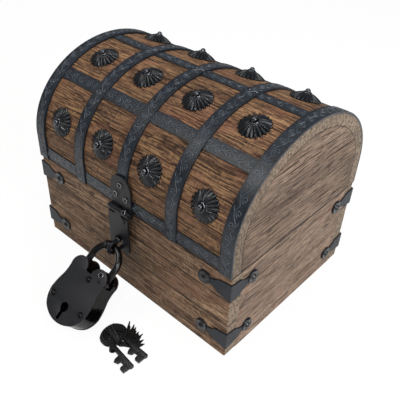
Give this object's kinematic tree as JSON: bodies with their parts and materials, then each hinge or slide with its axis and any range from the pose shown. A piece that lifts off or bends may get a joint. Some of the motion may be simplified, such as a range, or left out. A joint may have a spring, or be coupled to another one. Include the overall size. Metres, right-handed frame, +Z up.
{
  "type": "treasure chest box",
  "caption": "Round-topped wooden treasure chest with iron straps, rosette nails, corner brackets, a hinged lid and a hasp closed by a padlock, with two keys tied by a thread.",
  "frame": {"origin": "centre of the chest's underside", "axes": "+X along the chest to its right end, -Y towards the front with the hasp, +Z up"},
  "size_m": [0.2998, 0.324, 0.2349],
  "materials": {
    "base_wood": "brushed and stained, satin",
    "lid_wood": "brushed and stained, satin",
    "strap_iron": "embossed, charcoal, satin",
    "rosette_iron": "black, semi gloss",
    "bracket_iron": "charcoal, satin",
    "hasp_steel": "charcoal, satin",
    "screw_steel": "black, worn bright on the edges",
    "padlock_steel": "charcoal, satin",
    "shackle_steel": "black, glossy",
    "key_steel": "black, semi gloss",
    "thread": "twisted cotton, black",
    "spring_steel": "spring temper"
  },
  "bodies": {
    "chest": {"base_front_board": "base_wood", "base_back_board": "base_wood", "base_right_board": "base_wood", "base_left_board": "base_wood", "base_bottom_board": "base_wood", "upper_bracket_front_left": "bracket_iron", "upper_bracket_front_right": "bracket_iron", "upper_bracket_back_left": "bracket_iron", "upper_bracket_back_right": "bracket_iron", "lower_bracket_front_left": "bracket_iron", "lower_bracket_front_right": "bracket_iron", "lower_bracket_back_left": "bracket_iron", "lower_bracket_back_right": "bracket_iron", "bracket_screws": "screw_steel", "staple": "hasp_steel", "staple_screws": "screw_steel", "left_hinge_base_leaf": "hasp_steel", "right_hinge_base_leaf": "hasp_steel", "hinge_pins": "hasp_steel", "hinge_base_screws": "screw_steel"},
    "lid": {"lid_front_board": "lid_wood", "lid_back_board": "lid_wood", "lid_stave_1": "lid_wood", "lid_stave_2": "lid_wood", "lid_stave_3": "lid_wood", "lid_stave_4": "lid_wood", "lid_stave_5": "lid_wood", "lid_right_panel": "lid_wood", "lid_left_panel": "lid_wood", "front_lower_strap": "strap_iron", "back_lower_strap": "strap_iron", "front_arch_strap": "strap_iron", "crown_strap": "strap_iron", "back_arch_strap": "strap_iron", "left_end_band": "strap_iron", "left_band": "strap_iron", "middle_band": "strap_iron", "right_band": "strap_iron", "right_end_band": "strap_iron", "rosettes": "rosette_iron", "left_hinge_lid_leaf": "hasp_steel", "right_hinge_lid_leaf": "hasp_steel", "hinge_lid_screws": "screw_steel", "hasp_plate": "hasp_steel", "hasp_pin": "hasp_steel", "hasp_screws": "screw_steel"},
    "hasp": {"hasp_strap": "hasp_steel", "hasp_strap_rivet": "screw_steel"},
    "shackle": {"padlock_shackle": "shackle_steel"},
    "padlock": {"padlock_rim": "padlock_steel", "padlock_front_plate": "padlock_steel", "padlock_back_plate": "padlock_steel", "padlock_rivets": "padlock_steel", "padlock_pivot_pin": "padlock_steel", "padlock_key_post": "padlock_steel", "padlock_bolt": "padlock_steel", "padlock_bolt_spring": "spring_steel"},
    "keys": {"padlock_keys": "key_steel", "key_thread": "thread", "key_thread_ends": "thread"}
  },
  "joints": [
    {"name": "lid_hinge", "type": "hinge", "parent": "chest", "child": "lid", "pos_m": [0, 0.112, 0.1103], "axis": [-1, 0, 0], "range_deg": [0, 105]},
    {"name": "hasp_hinge", "type": "hinge", "parent": "lid", "child": "hasp", "pos_m": [0, -0.11395, 0.1115], "axis": [1, 0, 0], "range_deg": [0, 73.5]},
    {"name": "padlock_swing", "type": "hinge", "parent": "chest", "child": "shackle", "pos_m": [0, -0.126, 0.068], "axis": [-1, 0, 0], "range_deg": [0, 85]},
    {"name": "padlock_open", "type": "hinge", "parent": "shackle", "child": "padlock", "pos_m": [0.0186, -0.15498, 0.04565], "axis": [0, -0.6107, 0.7919], "range_deg": [0, 75]},
    {"name": "keys_slide", "type": "slide", "parent": "chest", "child": "keys", "axis": [1, 0, 0], "range_m": [0, 0.08]}
  ],
  "couplings": [
    {"joint": "hasp_hinge", "follows": "lid_hinge", "ratio": 0.7}
  ]
}
